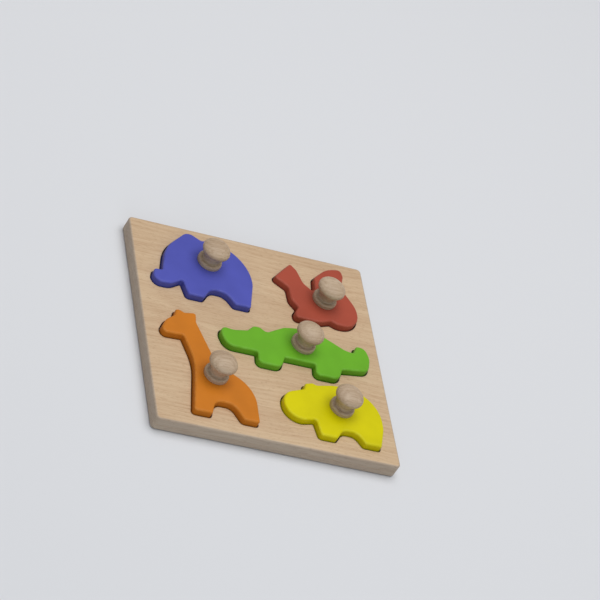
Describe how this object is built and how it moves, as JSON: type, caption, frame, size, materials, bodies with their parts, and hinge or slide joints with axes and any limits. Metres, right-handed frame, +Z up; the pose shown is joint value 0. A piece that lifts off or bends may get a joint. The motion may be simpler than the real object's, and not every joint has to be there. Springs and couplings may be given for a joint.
{
  "type": "wooden animal puzzle",
  "caption": "Square wooden board with animal-shaped cut-outs; painted animals lie in them, stand proud of the board and lift out by big turned knobs screwed on from below.",
  "frame": {"origin": "middle of the board's underside", "axes": "+Z up out of the board's face, +X to the right and +Y away from the child, with the animals the right way up and looking towards -X"},
  "size_m": [0.225, 0.225, 0.042],
  "materials": {
    "beech_base": "beech plate, sanded and oiled, satin",
    "beech_frame": "beech plate, sanded and oiled, satin",
    "beech_knob": "turned beech, sanded, satin",
    "blue_paint": "wood with a satin coat of blue paint",
    "red_paint": "wood with a satin coat of red paint",
    "orange_paint": "wood with a satin coat of orange paint",
    "green_paint": "wood with a satin coat of green paint",
    "yellow_paint": "wood with a satin coat of yellow paint",
    "zinc_screw": "zinc-plated steel"
  },
  "bodies": {
    "board": {"base_plate": "beech_base", "frame_plate": "beech_frame"},
    "elephant": {"elephant_piece": "blue_paint", "elephant_knob": "beech_knob", "elephant_screw": "zinc_screw"},
    "camel": {"camel_piece": "red_paint", "camel_knob": "beech_knob", "camel_screw": "zinc_screw"},
    "giraffe": {"giraffe_piece": "orange_paint", "giraffe_knob": "beech_knob", "giraffe_screw": "zinc_screw"},
    "crocodile": {"crocodile_piece": "green_paint", "crocodile_knob": "beech_knob", "crocodile_screw": "zinc_screw"},
    "hippo": {"hippo_piece": "yellow_paint", "hippo_knob": "beech_knob", "hippo_screw": "zinc_screw"}
  },
  "joints": [
    {"name": "elephant_lift", "type": "slide", "parent": "board", "child": "elephant", "axis": [0, 0, 1], "range_m": [0, 0.06]},
    {"name": "camel_lift", "type": "slide", "parent": "board", "child": "camel", "axis": [0, 0, 1], "range_m": [0, 0.06]},
    {"name": "giraffe_lift", "type": "slide", "parent": "board", "child": "giraffe", "axis": [0, 0, 1], "range_m": [0, 0.06]},
    {"name": "crocodile_lift", "type": "slide", "parent": "board", "child": "crocodile", "axis": [0, 0, 1], "range_m": [0, 0.06]},
    {"name": "hippo_lift", "type": "slide", "parent": "board", "child": "hippo", "axis": [0, 0, 1], "range_m": [0, 0.06]}
  ]
}
